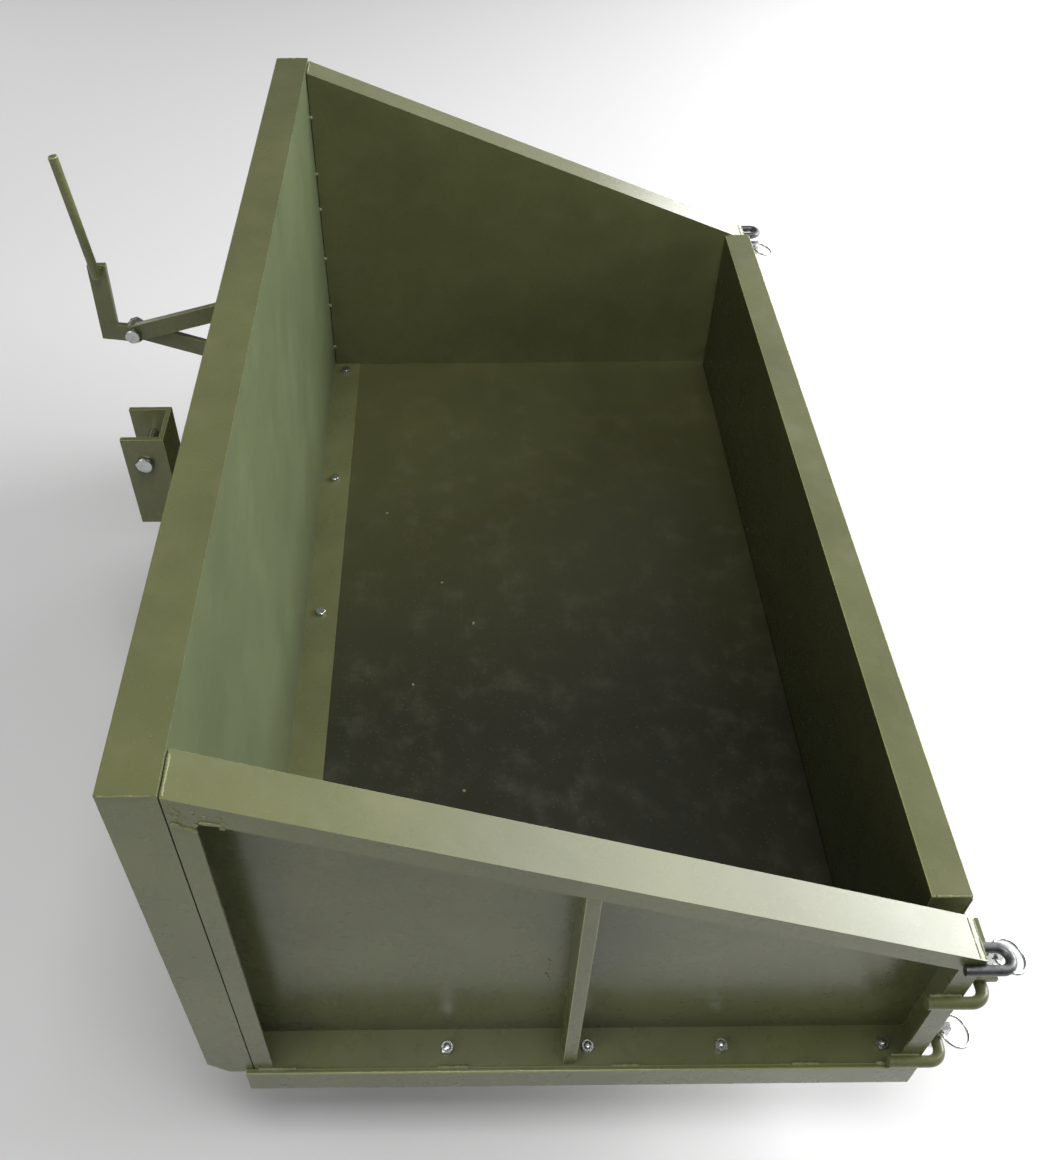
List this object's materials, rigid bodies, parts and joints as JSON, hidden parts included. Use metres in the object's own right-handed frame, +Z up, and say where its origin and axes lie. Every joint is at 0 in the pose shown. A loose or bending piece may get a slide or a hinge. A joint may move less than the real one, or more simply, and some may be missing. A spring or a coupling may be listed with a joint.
{
  "type": "tractor transport box",
  "caption": "Tipping transport box for a tractor's three-point linkage, with sloping side walls, a fold-down tailgate and a lever latch on its hitch frame.",
  "frame": {"origin": "on the ground, at the middle of the lower hitch tube's underside", "axes": "+X across the tractor to the side of the lever, +Y towards the tractor, +Z up"},
  "size_m": [1.312, 1.0134, 0.7599],
  "materials": {
    "olive_paint": "semi-gloss olive green paint over welded sheet and tube",
    "olive_paint_shaded": "semi-gloss olive green paint, darker inside the box",
    "zinc_plated_steel": "bright zinc plated",
    "bare_steel": "dull machined steel",
    "black_rubber": "moulded rubber",
    "black_plastic": "moulded plastic plug"
  },
  "bodies": {
    "hitch_frame": {"lower_hitch_tube": "olive_paint", "rear_foot_tube": "olive_paint", "left_arm": "olive_paint", "right_arm": "olive_paint", "left_upright": "olive_paint", "right_upright": "olive_paint", "upper_hitch_tube": "olive_paint", "top_link_bracket": "olive_paint", "top_link_bolt": "zinc_plated_steel", "link_plates": "olive_paint", "left_link_pin": "bare_steel", "right_link_pin": "bare_steel", "lever_bracket": "olive_paint", "lever_pivot_bolt": "zinc_plated_steel", "rubber_buffers": "black_rubber", "tip_pins": "zinc_plated_steel", "tube_plugs": "black_plastic"},
    "load_box": {"floor_sheet": "olive_paint_shaded", "left_sill": "olive_paint", "right_sill": "olive_paint", "front_wall": "olive_paint", "left_side_wall": "olive_paint", "right_side_wall": "olive_paint", "left_side_rim": "olive_paint", "right_side_rim": "olive_paint", "left_stiffener": "olive_paint", "right_stiffener": "olive_paint", "left_floor_rail": "olive_paint_shaded", "right_floor_rail": "olive_paint_shaded", "floor_cross_rib": "olive_paint_shaded", "left_pivot_lugs": "olive_paint_shaded", "right_pivot_lugs": "olive_paint_shaded", "catch_bracket": "olive_paint", "catch_pin": "zinc_plated_steel", "left_hinge_bar": "olive_paint", "right_hinge_bar": "olive_paint", "left_keeper_bar": "olive_paint", "right_keeper_bar": "olive_paint", "left_lashing_eye": "bare_steel", "right_lashing_eye": "bare_steel", "front_floor_bolts": "zinc_plated_steel", "side_floor_bolts": "zinc_plated_steel", "corner_bolts": "zinc_plated_steel"},
    "tailgate": {"tailgate_panel": "olive_paint_shaded", "left_hinge_strap": "olive_paint", "right_hinge_strap": "olive_paint", "left_latch_tab": "olive_paint", "right_latch_tab": "olive_paint"},
    "latch_lever": {"latch_lever": "olive_paint", "handle_rod": "olive_paint"},
    "left_hinge_lynch_pin": {"left_hinge_lynch_pin": "zinc_plated_steel"},
    "left_hinge_lynch_ring": {"left_hinge_lynch_ring": "zinc_plated_steel"},
    "left_latch_lynch_pin": {"left_latch_lynch_pin": "zinc_plated_steel"},
    "left_latch_lynch_ring": {"left_latch_lynch_ring": "zinc_plated_steel"},
    "right_hinge_lynch_pin": {"right_hinge_lynch_pin": "zinc_plated_steel"},
    "right_hinge_lynch_ring": {"right_hinge_lynch_ring": "zinc_plated_steel"},
    "right_latch_lynch_pin": {"right_latch_lynch_pin": "zinc_plated_steel"},
    "right_latch_lynch_ring": {"right_latch_lynch_ring": "zinc_plated_steel"}
  },
  "joints": [
    {"name": "box_tip", "type": "hinge", "parent": "hitch_frame", "child": "load_box", "pos_m": [0, -0.6, 0.085], "axis": [1, 0, 0], "range_deg": [0, 55]},
    {"name": "tailgate_fold", "type": "hinge", "parent": "load_box", "child": "tailgate", "pos_m": [0, -0.82, 0.201], "axis": [1, 0, 0], "range_deg": [0, 165]},
    {"name": "latch_turn", "type": "hinge", "parent": "hitch_frame", "child": "latch_lever", "pos_m": [0.224, 0.112, 0.503], "axis": [-1, 0, 0], "range_deg": [-15, 25]},
    {"name": "left_hinge_pin_slide", "type": "slide", "parent": "load_box", "child": "left_hinge_lynch_pin", "axis": [0, 0, 1], "range_m": [0, 0.035]},
    {"name": "left_hinge_ring_swing", "type": "hinge", "parent": "left_hinge_lynch_pin", "child": "left_hinge_lynch_ring", "pos_m": [-0.624, -0.82, 0.2193], "axis": [1, 0, 0], "range_deg": [-100, 20]},
    {"name": "left_latch_pin_slide", "type": "slide", "parent": "tailgate", "child": "left_latch_lynch_pin", "axis": [0, 0, 1], "range_m": [-0.022, 0]},
    {"name": "left_latch_ring_swing", "type": "hinge", "parent": "left_latch_lynch_pin", "child": "left_latch_lynch_ring", "pos_m": [-0.624, -0.82, 0.3895], "axis": [1, 0, 0], "range_deg": [-43, 20]},
    {"name": "right_hinge_pin_slide", "type": "slide", "parent": "load_box", "child": "right_hinge_lynch_pin", "axis": [0, 0, 1], "range_m": [0, 0.035]},
    {"name": "right_hinge_ring_swing", "type": "hinge", "parent": "right_hinge_lynch_pin", "child": "right_hinge_lynch_ring", "pos_m": [0.624, -0.82, 0.2193], "axis": [1, 0, 0], "range_deg": [-100, 20]},
    {"name": "right_latch_pin_slide", "type": "slide", "parent": "tailgate", "child": "right_latch_lynch_pin", "axis": [0, 0, 1], "range_m": [-0.022, 0]},
    {"name": "right_latch_ring_swing", "type": "hinge", "parent": "right_latch_lynch_pin", "child": "right_latch_lynch_ring", "pos_m": [0.624, -0.82, 0.3895], "axis": [1, 0, 0], "range_deg": [-43, 20]}
  ]
}
